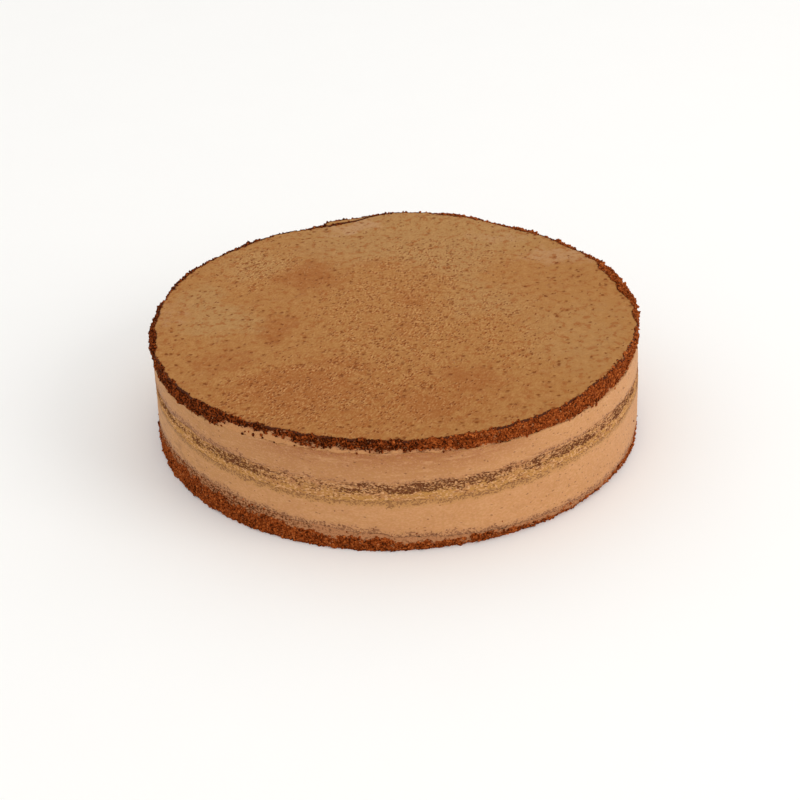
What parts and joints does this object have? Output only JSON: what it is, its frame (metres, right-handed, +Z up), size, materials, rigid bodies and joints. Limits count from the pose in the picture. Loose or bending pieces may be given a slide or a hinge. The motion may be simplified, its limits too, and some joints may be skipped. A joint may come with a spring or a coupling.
{
  "type": "chocolate naked cake",
  "caption": "Round uncut chocolate cake of sponge rounds and mocha cream fillings, with bare scraped sides and a ragged crumb rim.",
  "frame": {"origin": "middle of the flat underside of the bottom sponge", "axes": "+Z up through the middle of the cake; -Y towards the shown front; +X towards the slightly taller side"},
  "size_m": [0.2628, 0.262, 0.0664],
  "materials": {
    "sponge": "open dark chocolate crumb, dull",
    "cream": "scraped chocolate cream, soft sheen",
    "smeared_sponge": "sponge under a thin scraped smear of cream, dull",
    "crust": "tan pitted sponge crust, dull"
  },
  "bodies": {
    "root": {"bottom_sponge": "sponge", "lower_cream": "cream", "middle_sponge": "smeared_sponge", "upper_cream": "cream", "top_sponge": "crust"}
  },
  "joints": []
}
